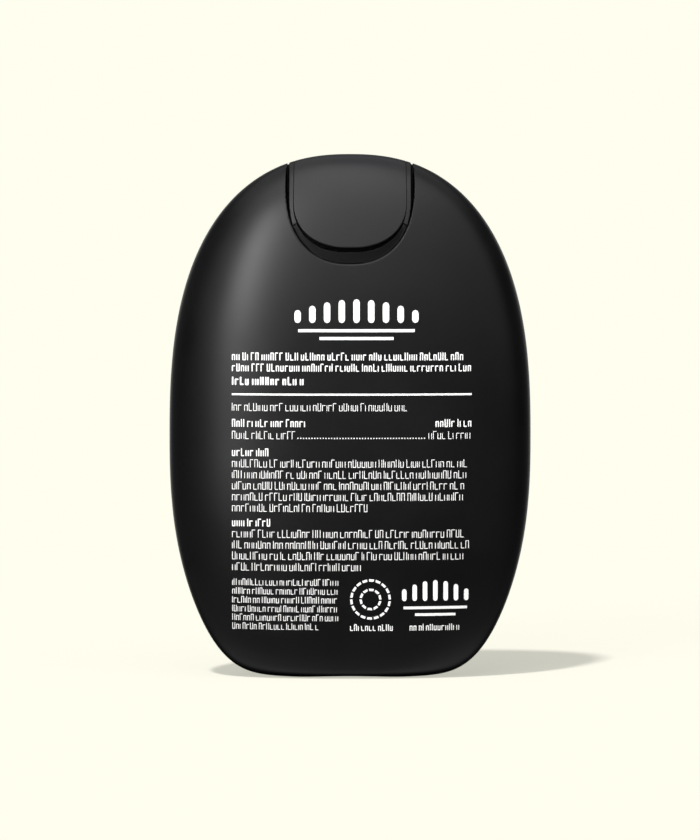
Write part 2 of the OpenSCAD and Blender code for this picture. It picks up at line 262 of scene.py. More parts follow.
def net(shape: Field, xs: Array, ys: Array, zs: Array) -> tuple[Array, Array]:
    """Nets the surface of a field with quads, one vertex in each cell that the surface crosses.

    Args:
        shape: Field of the solid.
        xs: Grid lines across.
        ys: Grid lines from front to back.
        zs: Grid lines in height.

    Returns:
        The vertices, and the four vertex numbers of each quad, wound to face outward.
    """
    value = shape(xs[:, None, None], ys[None, :, None], zs[None, None, :])
    value = np.broadcast_to(value, (len(xs), len(ys), len(zs)))
    inside = value < 0
    cells = tuple(n - 1 for n in value.shape)
    count = np.zeros(cells)
    total = np.zeros(cells + (3,))
    lines = (xs, ys, zs)
    for axis in range(3):
        low = [slice(None)] * 3
        high = [slice(None)] * 3
        low[axis], high[axis] = slice(None, -1), slice(1, None)
        a, b = value[tuple(low)], value[tuple(high)]
        crossed = (a < 0) != (b < 0)
        share = np.where(crossed, a / np.where(crossed, a - b, 1.0), 0.0)
        place = []
        for k in range(3):
            turn = [1, 1, 1]
            turn[k] = -1
            line = lines[k] if k != axis else lines[k][:-1]
            spot = np.broadcast_to(line.reshape(turn), crossed.shape)
            if k == axis:
                spot = spot + share * np.diff(lines[k]).reshape(turn)
            place.append(spot)
        others = [k for k in range(3) if k != axis]
        for i in (0, 1):
            for j in (0, 1):
                pick = [slice(None)] * 3
                for k, shift in zip(others, (i, j)):
                    pick[k] = slice(shift, cells[k] + shift)
                hit = crossed[tuple(pick)]
                count += hit
                for k in range(3):
                    total[..., k] += np.where(hit, place[k][tuple(pick)], 0.0)
    mixed = count > 0
    number = np.full(cells, -1)
    number[mixed] = np.arange(int(mixed.sum()))
    points = total[mixed] / count[mixed][:, None]
    quads = []
    for axis in range(3):
        low = [slice(1, -1)] * 3
        high = [slice(1, -1)] * 3
        low[axis], high[axis] = slice(None, -1), slice(1, None)
        a, b = inside[tuple(low)], inside[tuple(high)]
        ring = []
        others = [k for k in range(3) if k != axis]
        for i, j in ((0, 0), (1, 0), (1, 1), (0, 1)):
            pick = [slice(None)] * 3
            for k, shift in zip(others, (i, j)):
                pick[k] = slice(shift, cells[k] - 1 + shift)
            ring.append(number[tuple(pick)])
        corner = np.stack(ring, axis=-1)
        out, back = a & ~b, b & ~a
        if axis == 1:
            out, back = back, out
        quads += [corner[out], corner[back][:, ::-1]]
    return points, np.concatenate(quads)


def slope_of(shape: Field, points: Array, step: float = 0.01) -> tuple[Array, Array]:
    """Value and slope of a field at some points.

    Args:
        shape: The field.
        points: One point a row.
        step: Distance over which the slope is measured.

    Returns:
        The values, and the slope vectors, one a row.
    """
    x, y, z = points.T
    slope = np.stack([
        shape(x + step, y, z) - shape(x - step, y, z),
        shape(x, y + step, z) - shape(x, y - step, z),
        shape(x, y, z + step) - shape(x, y, z - step),
    ], axis=1) / (2 * step)
    return shape(x, y, z), slope


def linked(name: str, data: bpy.types.ID) -> bpy.types.Object:
    """Makes an object of a mesh, a lamp or a camera, linked to the scene."""
    made = bpy.data.objects.new(name, data)
    bpy.context.scene.collection.objects.link(made)
    return made


def mesh_object(name: str, points: Array, faces: Iterable[Sequence[int]], normals: Array | None = None
                ) -> bpy.types.Object:
    """Makes a smooth mesh object.

    Args:
        name: Name of the piece.
        points: Vertices in millimetres, one a row.
        faces: Vertex numbers of each face.
        normals: Vertex normals, where they are known exactly.

    Returns:
        The object, linked to the scene.
    """
    mesh = bpy.data.meshes.new(name)
    mesh.from_pydata((points * MM).tolist(), [], [list(map(int, f)) for f in faces])
    mesh.validate()
    mesh.shade_smooth()
    if normals is not None:
        mesh.normals_split_custom_set_from_vertices(normals.tolist())
    return linked(name, mesh)


def moulded(name: str, shape: Field, grid: tuple[Array, Array, Array], reach: float = 0.15
            ) -> bpy.types.Object:
    """Makes a closed mesh whose vertices lie on a field's surface.

    Args:
        name: Name of the piece.
        shape: Field of the solid.
        grid: Grid lines across, from front to back and in height.
        reach: Farthest that a vertex moves in one of the steps that bring it to the surface.

    Returns:
        The piece, with its normals taken from the field.
    """
    points, quads = net(shape, *grid)
    for _ in range(4):
        value, slope = slope_of(shape, points)
        size = np.maximum((slope**2).sum(1), 0.05)
        points = points - np.clip(value / size, -reach, reach)[:, None] * slope
    _, slope = slope_of(shape, points)
    normals = slope / np.maximum(np.linalg.norm(slope, axis=1), 1e-9)[:, None]
    return mesh_object(name, points, quads, normals)


def rounded(corners: Sequence[tuple[float, float]], radius: float, steps: int = 4) -> Array:
    """Rounds the corners of a closed outline.

    Args:
        corners: The outline's corners.
        radius: Radius of each corner, less where a side is short.
        steps: Points on each rounded corner.

    Returns:
        The outline's points, one a row.
    """
    points = []
    pts = [np.array(c, float) for c in corners]
    for k, here in enumerate(pts):
        before, after = pts[k - 1] - here, pts[(k + 1) % len(pts)] - here
        cut = min(radius, 0.45 * np.linalg.norm(before), 0.45 * np.linalg.norm(after))
        a = here + before / np.linalg.norm(before) * cut
        b = here + after / np.linalg.norm(after) * cut
        for t in np.linspace(0.0, 1.0, steps):
            points.append((1 - t) ** 2 * a + 2 * t * (1 - t) * here + t**2 * b)
    return np.array(points)


def turned(name: str, outline: Array, segments: int = 128) -> bpy.types.Object:
    """Turns a closed outline of radius and height round the neck's axis into a ring-shaped mesh."""
    count = len(outline)
    angles = np.arange(segments) * 2 * math.pi / segments
    points = np.array([
        (r * math.cos(a), r * math.sin(a), z) for a in angles for r, z in outline
    ])
    faces = []
    for i in range(segments):
        a, b = i * count, (i + 1) % segments * count
        for k in range(count):
            m = (k + 1) % count
            faces.append((a + k, b + k, b + m, a + m))
    return mesh_object(name, points, faces)


def prism(outline: Array, near: Array, far: Array) -> tuple[Array, list[list[int]]]:
    """Closes a small outline into a thin solid that stands in the surface.

    Args:
        outline: X and Z of the outline's points, anticlockwise as the front view shows it.
        near: Y of each point on the outer face.
        far: Y of each point on the inner face.

    Returns:
        The vertices, and the faces' vertex numbers.
    """
    count = len(outline)
    outer = np.column_stack([outline[:, 0], near, outline[:, 1]])
    inner = np.column_stack([outline[:, 0], far, outline[:, 1]])
    faces = [list(range(count)), list(range(2 * count - 1, count - 1, -1))]
    for k in range(count):
        m = (k + 1) % count
        faces.append([k, k + count, m + count, m])
    return np.vstack([outer, inner]), faces


# Materials


def linear(code: str) -> tuple[float, float, float, float]:
    """Turns an sRGB hex colour into Blender's linear colour."""
    parts = [int(code[k:k + 2], 16) / 255 for k in (1, 3, 5)]
    r, g, b = (c / 12.92 if c <= 0.04045 else ((c + 0.055) / 1.055) ** 2.4 for c in parts)
    return r, g, b, 1.0


def add(tree: bpy.types.NodeTree, kind: str, settings: dict | None = None, **inputs: object
        ) -> bpy.types.Node:
    """Adds a node with its settings and links.

    Args:
        tree: The node tree.
        kind: The node's type.
        settings: The node's own properties.
        inputs: Values or output sockets for its inputs, by the input's name with _ for a space,
            or by i and the input's number.

    Returns:
        The new node.
    """
    node = tree.nodes.new(kind)
    for key, value in (settings or {}).items():
        setattr(node, key, value)
    for key, value in inputs.items():
        numbered = key[0] == "i" and key[1:].isdigit()
        socket = node.inputs[int(key[1:]) if numbered else key.replace("_", " ")]
        if isinstance(value, bpy.types.NodeSocket):
            tree.links.new(value, socket)
        else:
            socket.default_value = value
    return node


def compute(tree: bpy.types.NodeTree, operation: str, *values: object) -> bpy.types.NodeSocket:
    """Adds a math node for an operation on numbers or sockets and returns its result."""
    inputs = {f"i{k}": value for k, value in enumerate(values)}
    return add(tree, "ShaderNodeMath", {"operation": operation}, **inputs).outputs[0]


def noise(tree: bpy.types.NodeTree, size_mm: float, detail: float) -> bpy.types.NodeSocket:
    """Adds a noise of a given grain size that is fixed to the piece."""
    place = add(tree, "ShaderNodeTexCoord").outputs["Object"]
    scale = 1 / (size_mm * MM)
    return add(tree, "ShaderNodeTexNoise", Vector=place, Scale=scale, Detail=detail).outputs["Fac"]


def seen_directly(tree: bpy.types.NodeTree) -> bpy.types.NodeSocket:
    """Adds a switch that is 1 for what the camera sees, and 0 for light on its way to the object."""
    path = add(tree, "ShaderNodeLightPath")
    return compute(tree, "MAXIMUM", path.outputs["Is Camera Ray"], path.outputs["Is Transmission Ray"])


def ramp(tree: bpy.types.NodeTree, source: bpy.types.NodeSocket, stops: Sequence[tuple[float, object]],
         smooth: str = "EASE") -> bpy.types.NodeSocket:
    """Adds a colour ramp.

    Args:
        tree: The node tree.
        source: Socket that the ramp reads.
        stops: Place of each stop, with its grey value or its hex colour.
        smooth: How the ramp runs between its stops.

    Returns:
        The ramp's colour socket.
    """
    node = add(tree, "ShaderNodeValToRGB", i0=source)
    node.color_ramp.interpolation = smooth
    elements = node.color_ramp.elements
    while len(elements) < len(stops):
        elements.new(0.5)
    for element, (place, value) in zip(elements, stops):
        element.position = place
        element.color = linear(value) if isinstance(value, str) else (value, value, value, 1.0)
    return node.outputs[0]


def empty_material(name: str) -> tuple[bpy.types.Material, bpy.types.NodeTree]:
    """A material with an empty node tree."""
    material = bpy.data.materials.new(name)
    material.use_nodes = True
    material.node_tree.nodes.clear()
    return material, material.node_tree


@dataclass(frozen=True)
class MouldedPlastic:
    """Pigmented polyolefin, moulded against a fine spark-eroded steel surface.

    It gives the eye a deep, even colour under a soft satin sheen, with a faint grain that
    breaks up the edges of reflections.
    """

    name: str
    colour: str
    colour_high: str
    roughness: float
    roughness_spread: float = 0.04
    grain_mm: float = 0.22
    grain_depth_mm: float = 0.0022
    sink_mm: float = 14.0
    sink_depth_mm: float = 0.02
    ior: float = 1.5
    subsurface: float = 0.0
    scatter_mm: float = 1.5

    def material(self) -> bpy.types.Material:
        """Builds the node material."""
        material, tree = empty_material(self.name)
        grain = noise(tree, self.grain_mm, 3.0)
        cloud = noise(tree, self.sink_mm, 2.0)
        low, high = self.roughness - self.roughness_spread, self.roughness + self.roughness_spread
        rough = add(tree, "ShaderNodeMapRange", Value=cloud, To_Min=low, To_Max=high)
        tone = ramp(tree, cloud, ((0.35, self.colour), (0.65, self.colour_high)))
        soft = add(tree, "ShaderNodeBump", Height=cloud, Strength=1.0, Distance=self.sink_depth_mm * MM)
        fine = add(tree, "ShaderNodeBump", Height=grain, Strength=1.0,
                   Distance=self.grain_depth_mm * MM, Normal=soft.outputs["Normal"])
        shader = add(tree, "ShaderNodeBsdfPrincipled", Base_Color=tone, Roughness=rough.outputs["Result"],
                     IOR=self.ior, Normal=fine.outputs["Normal"])
        if self.subsurface:
            shader.inputs["Subsurface Weight"].default_value = self.subsurface
            shader.inputs["Subsurface Scale"].default_value = self.scatter_mm * MM
        add(tree, "ShaderNodeOutputMaterial", Surface=shader.outputs["BSDF"])
        return material


@dataclass(frozen=True)
class PolishedSteel:
    """Ground and polished stainless steel, as on a mixing ball: a clear mirror with faint lap marks."""

    name: str = "stainless_steel_polished"
    colour: str = "#E3E4E6"
    roughness: float = 0.12
    lap_mm: float = 0.6

    def material(self) -> bpy.types.Material:
        """Builds the node material."""
        material, tree = empty_material(self.name)
        rough = add(tree, "ShaderNodeMapRange", Value=noise(tree, self.lap_mm, 4.0),
                    To_Min=self.roughness * 0.6, To_Max=self.roughness * 1.4)
        shader = add(tree, "ShaderNodeBsdfPrincipled", Base_Color=linear(self.colour), Metallic=1.0,
                     Roughness=rough.outputs["Result"])
        add(tree, "ShaderNodeOutputMaterial", Surface=shader.outputs["BSDF"])
        return material


@dataclass(frozen=True)
class PrintedInk:
    """White screen-printed ink, cured on the plastic: flat and opaque, a little thin in places."""

    name: str = "screen_ink_white"
    colour: str = "#F2F2F2"
    thin_colour: str = "#E4E4E5"
    roughness: float = 0.55
    mesh_mm: float = 0.35

    def material(self) -> bpy.types.Material:
        """Builds the node material."""
        material, tree = empty_material(self.name)
        cloth = noise(tree, self.mesh_mm, 2.0)
        tone = ramp(tree, cloth, ((0.3, self.thin_colour), (0.55, self.colour)))
        shader = add(tree, "ShaderNodeBsdfPrincipled", Base_Color=tone, Roughness=self.roughness, IOR=1.48)
        add(tree, "ShaderNodeOutputMaterial", Surface=shader.outputs["BSDF"])
        return material


# Blown black HDPE: the bottle's own skin, the darkest of the three blacks
BLOWN_HDPE = MouldedPlastic("hdpe_black_blow_moulded", "#0A0A0B", "#0D0D0E", 0.3)
# Injected black polypropylene: the closure's base, a shade flatter than the bottle
INJECTED_PP = MouldedPlastic("pp_black_injection_moulded", "#121213", "#151516", 0.33,
                             sink_depth_mm=0.008)
# The same polypropylene on the lid, a shade lighter than the base's, with a finer texture
LID_PP = MouldedPlastic("pp_black_lid_injection_moulded", "#161618", "#181819", 0.34,
                        sink_depth_mm=0.008)
# Natural LDPE: the orifice plug, milky, soft and waxy
NATURAL_LDPE = MouldedPlastic("ldpe_natural_injection_moulded", "#DCDCD6", "#E6E6E0", 0.4,
                              subsurface=0.35, grain_mm=0.5)


def dress(piece: bpy.types.Object, finish: object) -> None:
    """Gives a piece the material of a finish, made once and shared."""
    material = bpy.data.materials.get(finish.name) or finish.material()
    piece.data.materials.clear()
    piece.data.materials.append(material)


# Sub-assemblies


@dataclass(frozen=True)
class Layout:
    """Heights and widths that the closure, the neck and the hinge share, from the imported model."""

    pebble: Pebble
    bottle_in: float = 0.06
    notch_depth: float = 18.8
    notch_side: float = 4.8
    notch_bow: float = 0.35
    notch_top: float = 9.7
    notch_exp: float = 2.35
    seam_gap: float = 0.2
    floor_gap: float = 0.04
    closure_w: float = 20.9
    closure_side: float = 7.0
    neck_r: float = 5.6
    neck_wall: float = 1.3
    neck_h: float = 6.4
    bead_out: float = 0.4
    bead_h: float = 1.2
    bead_drop: float = 0.7
    flange_t: float = 0.8
    deck_t: float = 1.1
    spout_h: float = 3.4
    strip_w: float = 0.78
    lid_gap: float = 0.12
    lid_drop: float = 15.85
    lid_side: float = 8.0
    lid_exp: float = 2.3
    nail_gap: float = 0.85
    seam_lean: float = 0.02
    hinge_drop: float = 8.0
    hinge_gap: float = 1.0
    strap_w: float = 4.2
    strap_len: float = 3.4

    @property
    def crown_z(self) -> float:
        """Height of the crown."""
        return self.pebble.height

    @property
    def notch_z(self) -> float:
        """Height of the notch floor."""
        return self.crown_z - self.notch_depth

    @property
    def neck_top(self) -> float:
        """Height of the neck's rim."""
        return self.notch_z + self.neck_h

    @property
    def bore_r(self) -> float:
        """Radius of the neck's bore."""
        return self.neck_r - self.neck_wall

    @property
    def deck_z(self) -> float:
        """Height of the deck's underside, on the plug's flange."""
        return self.neck_top + self.flange_t

    @property
    def deck_top(self) -> float:
        """Height of the deck."""
        return self.deck_z + self.deck_t

    @property
    def spout_z(self) -> float:
        """Height of the spout's lip."""
        return self.deck_z + self.spout_h

    @property
    def hinge_z(self) -> float:
        """Height of the hinge line."""
        return self.crown_z - self.hinge_drop

    @property
    def rear_top(self) -> float:
        """Height of the base's rear edge, under the hinge gap."""
        return self.hinge_z - self.hinge_gap / 2

    @property
    def lid_rear_z(self) -> float:
        """Height of the lid's rear edge, over the hinge gap."""
        return self.hinge_z + self.hinge_gap / 2

    @property
    def lid_half(self) -> float:
        """Half the lid's width."""
        return self.closure_w / 2 - self.strip_w - self.lid_gap

    @property
    def lid_z(self) -> float:
        """Height of the lid's lower edge."""
        return self.crown_z - self.lid_drop

    @property
    def notch(self) -> Tongue:
        """The notch in the bottle's crown, widest a little below the crown."""
        half = self.closure_w / 2 + self.seam_gap + self.notch_bow
        return Tongue(half, self.notch_z, self.crown_z - self.notch_side, self.notch_exp, self.notch_top)

    @property
    def opening(self) -> Tongue:
        """The opening that the lid shuts, wider than the lid below by the slot for a fingernail."""
        half = self.lid_half + self.lid_gap
        return Tongue(half, self.lid_z - self.nail_gap, self.crown_z - self.lid_side, self.lid_exp)

    def seam(self, y: Array, grow: float) -> Array:
        """How far a face of the lid's seam is moved out: it leans, so that no light shows through."""
        return grow - self.seam_lean * y

    @property
    def lid(self) -> Tongue:
        """The outline of the lid."""
        return Tongue(self.lid_half, self.lid_z, self.crown_z - self.lid_side, self.lid_exp)

    def closure(self, x: Array, z: Array) -> Array:
        """Field of the closure's outline, which stands in the notch."""
        sides = Tongue(self.closure_w / 2, self.notch_z, self.crown_z - self.closure_side, self.notch_exp)
        return np.maximum(self.notch.field(x, z, -self.floor_gap), sides.field(x, z))


@dataclass
class Bottle:
    """The blown bottle: skin, notch, neck with its snap bead, cavity and arched foot."""

    layout: Layout
    wall: float = 1.2
    floor_t: float = 1.6
    arch_w: float = 18.0
    arch_h: float = 0.35
    notch_edge: float = 0.35
    crown_edge: float = 0.1
    lip_y: float = 7.6
    lip_lean: float = 0.07
    foot_edge: float = 0.12
    parting_h: float = 0.05
    parting_w: float = 0.11
    weld_h: float = 0.16
    weld_w: float = 0.3
    weld_half: float = 8.0
    weld_sharp: int = 12
    room_edge: float = 0.8
    room_notch_edge: float = 0.6
    bore_fillet: float = 0.3
    rim_edge: float = 0.2
    bead_fillet: float = 0.15
    neck_fillet: float = 0.4
    arch_edge: float = 0.1
    wall_edge: float = 0.1

    def cavity(self, x: Array, y: Array, z: Array) -> Array:
        """Field of the space inside, with the bore through the neck."""
        lay = self.layout
        room = meet(lay.pebble.field(x, y, z, self.wall), self.floor_t - z, self.room_edge)
        room = carve(room, lay.notch.field(x, z, self.wall), self.room_notch_edge)
        bore = meet(drum(x, y, lay.bore_r), lay.notch_z - 2 * self.wall - z)
        return join(room, bore, self.bore_fillet)

    def shape(self, x: Array, y: Array, z: Array) -> Array:
        """Field of the bottle."""
        lay = self.layout
        ridge = self.parting_h * np.exp(-((y / self.parting_w) ** 2))
        skin = lay.pebble.field(x, y, z, lay.bottle_in) - ridge
        lip = self.lip_lean * np.minimum(y + self.lip_y, 0.0)
        edge = np.interp(z, (lay.notch_z + 4.0, lay.crown_z - 6.0), (self.notch_edge, self.crown_edge))
        skin = carve(skin, lay.notch.field(x, z, lip), edge)
        tube = slab(z, lay.notch_z - self.wall, lay.neck_top)
        neck = meet(drum(x, y, lay.neck_r), tube, self.rim_edge)
        bead_z = lay.neck_top - lay.bead_drop - lay.bead_h / 2
        bead = np.hypot(drum(x, y, lay.neck_r) / lay.bead_out, (z - bead_z) / (lay.bead_h / 2)) - 1.0
        neck = join(neck, bead * lay.bead_out * 0.7, self.bead_fillet)
        solid = join(skin, neck, self.neck_fillet)
        arch_r = (self.arch_w**2 / 4 + self.arch_h**2) / (2 * self.arch_h)
        weld = self.weld_h * np.exp(-((y / self.weld_w) ** 2))
        weld = weld / (1 + (x / self.weld_half) ** self.weld_sharp)
        arch = np.hypot(x, z - self.arch_h + arch_r) - arch_r + weld
        solid = carve(meet(solid, -z, self.foot_edge), arch, self.arch_edge)
        return carve(solid, self.cavity(x, y, z), self.wall_edge)

    def build(self) -> None:
        """Makes the bottle's mesh and dresses it."""
        lay = self.layout
        half_w, half_d = lay.pebble.width / 2 + 0.6, lay.pebble.depth / 2 + 0.6
        fine = lay.closure_w / 2 + 1.6
        across = graded((-half_w, -fine, 0.9), (-fine, fine, 0.24), (fine, half_w, 0.9))
        deep = graded((-half_d, -0.5, 0.4), (-0.5, 0.5, 0.1), (0.5, half_d, 0.4))
        tall = graded((-0.3, 3.0, 0.25), (3.0, 6.0, 0.5), (6.0, 66.0, 0.9), (66.0, 69.6, 0.4),
                      (69.6, lay.crown_z + 0.4, 0.24))
        body = moulded("bottle_shell", self.shape, (across, deep, tall))
        dress(body, BLOWN_HDPE)
        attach(body, Body.BOTTLE.value)
        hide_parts("bottle_body")
        LOG.info("bottle_shell: %d faces", len(body.data.polygons))


@dataclass
class OrificePlug:
    """The soft plug in the neck, whose spout carries the orifice."""

    layout: Layout
    depth: float = 5.0
    wall: float = 1.0
    flange_out: float = 0.9
    spout_r: float = 2.6
    spout_taper: float = 0.35
    orifice_r: float = 1.2
    lip: float = 0.3

    def build(self) -> None:
        """Makes the plug's mesh and dresses it."""
        lay = self.layout
        low = lay.neck_top - self.depth
        sleeve_r = lay.bore_r - self.wall
        outline = rounded([
            (sleeve_r, low), (lay.bore_r - self.lip / 2, low), (lay.bore_r, low + 2 * self.lip),
            (lay.bore_r, lay.neck_top), (lay.bore_r + self.flange_out, lay.neck_top),
            (lay.bore_r + self.flange_out, lay.deck_z), (self.spout_r, lay.deck_z),
            (self.spout_r - self.spout_taper, lay.spout_z - self.lip),
            (self.spout_r - self.spout_taper - self.lip, lay.spout_z),
            (self.orifice_r + self.lip, lay.spout_z), (self.orifice_r, lay.spout_z - self.lip),
            (self.orifice_r, lay.neck_top),
            (sleeve_r, lay.neck_top - (sleeve_r - self.orifice_r) / 2),
        ], 0.18)
        plug = turned("orifice_insert", outline)
        dress(plug, NATURAL_LDPE)
        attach(plug, Body.BOTTLE.value)
        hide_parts("orifice_plug")
        LOG.info("orifice_insert: %d faces", len(plug.data.polygons))


@dataclass
class Closure:
    """The closure's base, with its deck, scoop, strips and catch, and the lid that shuts it."""

    layout: Layout
    skin_in: float = 0.03
    lid_edge: float = 0.18
    seam_edge: float = 0.04
    # How far the opening and the lid are drawn in at the seam, which leaves 0.02 between them
    opening_in: float = 0.114
    lid_in: float = 0.014
    edge: float = 0.1
    fine_edge: float = 0.05
    round_edge: float = 0.2
    soft_edge: float = 0.3
    catch_edge: float = 0.18
    dish_edge: float = 0.15
    hollow_edge: float = 0.08
    hood_edge: float = 0.5
    skin_share: float = 0.6
    rear_t: float = 1.2
    seat_t: float = 1.2
    seat_in: float = 0.25
    scoop_in: float = 1.5
    shelf_in: float = 1.95
    shelf_out: float = 0.5
    shelf_lean: float = 0.05
    shelf_bow: float = 0.006
    nail_in: float = 1.0
    nail_rise: float = 1.2
    nail_lean: float = 0.5
    front_t: float = 0.8
    skirt_t: float = 1.0
    strip_drop: float = 12.45
    strip_slope: float = 0.5
    collar_t: float = 0.9
    collar_gap: float = 0.08
    dish_depth: float = 0.3
    dish_r: float = 5.0
    lid_wall: float = 1.3
    lid_side_wall: float = 1.15
    deck_gap: float = 0.2
    post_r: float = 2.0
    post_gap: float = 0.15
    pin_len: float = 1.2
    pin_gap: float = 0.06
    catch_w: float = 6.4
    catch_out: float = 0.45
    catch_h: float = 0.5
    catch_drop: float = 2.6
    catch_gap: float = 0.2
    strap_gap: float = 0.25
    net_step: float = 0.2
    net_fine: float = 0.06
    lid_net: float = 16.4
    plug: OrificePlug = field(init=False)

    def __post_init__(self) -> None:
        """Takes the spout's sizes from the plug."""
        self.plug = OrificePlug(self.layout)

    def core(self, x: Array, y: Array, z: Array, inset: float) -> Array:
        """Field of the bottle's form drawn in by an inset, kept clear of the skin at the crown."""
        form = self.layout.pebble
        return np.maximum(form.field(x, y, z, inset), form.field(x, y, z) + self.skin_share * inset)

    def strap_window(self, x: Array, y: Array, z: Array) -> Array:
        """Field of the window that the snap strap lies in."""
        lay = self.layout
        half, reach = lay.strap_w / 2 + self.strap_gap, lay.strap_len / 2
        opening = meet(slab(x, -half, half), slab(z, lay.hinge_z - reach, lay.hinge_z + reach),
                       self.round_edge)
        return np.maximum(opening, -y)

    def lid_room(self, x: Array, y: Array, z: Array) -> Array:
        """Field of the room that the lid takes above the deck."""
        lay = self.layout
        low = meet(self.core(x, y, z, self.rear_t), lay.deck_top - z, self.soft_edge)
        return meet(join(low, lay.rear_top - z), lay.opening.field(x, z, lay.seam(y, -self.opening_in)))

    @property
    def shelf_y(self) -> float:
        """Distance of the flat front face from the neck's axis."""
        return float(self.layout.pebble.depth_at(0.0, self.layout.notch_z)) - self.shelf_in

    def scoop(self, x: Array, y: Array, z: Array) -> Array:
        """Field of what lies in front of the recessed face: apron, slot and finger scoop."""
        lay = self.layout
        ends = z - lay.crown_z + self.strip_drop - (lay.closure_w / 2 - np.abs(x)) * self.strip_slope
        opening = lay.opening.field(x, z, lay.seam(y, -self.opening_in))
        under = meet(self.core(x, y, z, self.scoop_in), -self.shelf_y - y, self.edge)
        front = carve(np.maximum(opening, y), under, self.fine_edge)
        plane = self.shelf_y + (z - lay.notch_z) * self.shelf_lean - x**2 * self.shelf_bow
        shelf = meet(lay.pebble.field(x, y, z) + self.shelf_out, -plane - y, self.soft_edge)
        below = np.maximum(ends / math.hypot(1, self.strip_slope), -opening)
        front = join(front, carve(np.maximum(below, y), shelf, self.fine_edge))
        inner = Tongue(lay.lid_half - self.nail_rise, lay.lid_z + self.nail_rise,
                       lay.crown_z - lay.lid_side, lay.lid_exp)
        slot = np.maximum(opening, -inner.field(x, z))
        back = self.shelf_y - self.nail_in - opening * self.nail_lean
        return join(front, meet(slot, (y + back) / math.hypot(1, self.nail_lean)), self.fine_edge)

    def hollow(self, x: Array, y: Array, z: Array) -> Array:
        """Field of the space under the deck and of the bores."""
        lay, half = self.layout, self.layout.closure_w / 2 - self.skirt_t
        groove_r = lay.neck_r + self.collar_gap + lay.bead_out
        bead_z = lay.neck_top - lay.bead_drop - lay.bead_h
        wall_y = self.shelf_y - self.nail_in - self.front_t
        front = np.maximum(lay.pebble.field(x, y, z, self.scoop_in + self.front_t), -wall_y - y)
        rear = np.maximum(lay.pebble.field(x, y, z, self.rear_t), -y)
        skirt = meet(meet(join(front, rear), slab(x, -half, half)), z - lay.deck_z, self.soft_edge)
        skirt = carve(skirt, drum(x, y, groove_r + self.collar_t), self.round_edge)
        bore = np.maximum(drum(x, y, lay.neck_r + self.collar_gap), z - bead_z)
        groove = np.maximum(drum(x, y, groove_r), slab(z, bead_z, lay.deck_z))
        spout = np.maximum(drum(x, y, self.plug.spout_r + self.collar_gap), lay.deck_z - 1 - z)
        dish = meet(drum(x, y, self.dish_r), lay.deck_top - self.dish_depth - z, self.dish_edge)
        return join(join(join(join(skirt, bore), groove), spout), dish, self.fine_edge)

    def catch(self, x: Array, y: Array, z: Array) -> Array:
        """Field of the catch behind the lid's front edge."""
        low = self.layout.deck_top - self.catch_drop
        nose = meet(self.layout.pebble.field(x, y, z, self.scoop_in - self.catch_out),
                    slab(z, low, low + self.catch_h), self.catch_edge)
        ends = slab(x, -self.catch_w / 2, self.catch_w / 2)
        return np.maximum(meet(nose, ends, self.catch_edge), y)

    def base_shape(self, x: Array, y: Array, z: Array) -> Array:
        """Field of the closure's base."""
        lay = self.layout
        solid = meet(lay.pebble.field(x, y, z, self.skin_in), lay.closure(x, z), self.seam_edge)
        web = meet(lay.pebble.field(x, y, z, self.seat_in), lay.notch.field(x, z, 0.02))
        solid = join(solid, np.maximum(web, slab(y, -self.seat_t / 2, self.seat_t / 2)))
        solid = carve(solid, self.lid_room(x, y, z), self.seam_edge)
        solid = carve(solid, self.scoop(x, y, z), self.seam_edge)
        solid = join(solid, self.catch(x, y, z), self.edge)
        solid = carve(solid, self.hollow(x, y, z), self.hollow_edge)
        return carve(solid, self.strap_window(x, y, z), self.edge)

    def hood(self, x: Array, y: Array, z: Array) -> Array:
        """Field of the room under the lid."""
        lay = self.layout
        half, low = lay.lid_half - self.lid_side_wall, lay.deck_top + self.deck_gap
        rear_y = float(lay.pebble.depth_at(0.0, lay.lid_rear_z, self.lid_wall))
        climb = np.clip(y / rear_y, 0.0, 1.0) * (lay.lid_rear_z - low)
        under = (z - low - climb) * 0.9
        room = join(slab(x, -half, half), under, self.round_edge)
        return meet(self.core(x, y, z, self.lid_wall), room, self.hood_edge)

    def catch_groove(self, x: Array, y: Array, z: Array) -> Array:
        """Field of the groove that snaps over the catch."""
        low = self.layout.deck_top - self.catch_drop
        cut = slab(z, low - self.catch_gap, low + self.catch_h + self.catch_gap)
        ends = slab(x, -self.catch_w / 2 - self.catch_gap, self.catch_w / 2 + self.catch_gap)
        cut = meet(cut, ends, self.edge)
        inner = self.layout.pebble.field(x, y, z, self.scoop_in - self.catch_out - self.catch_gap)
        return np.maximum(np.maximum(cut, inner), y)

    def seal_post(self, x: Array, y: Array, z: Array) -> Array:
        """Field of the post under the lid, with the pin that shuts the orifice."""
        lay = self.layout
        top = lay.crown_z - self.lid_wall + 0.3
        post = meet(drum(x, y, self.post_r), slab(z, lay.spout_z + self.post_gap, top), self.edge)
        pin = meet(drum(x, y, self.plug.orifice_r - self.pin_gap),
                   slab(z, lay.spout_z - self.pin_len, lay.spout_z + 1), self.soft_edge)
        return join(post, pin, self.fine_edge)

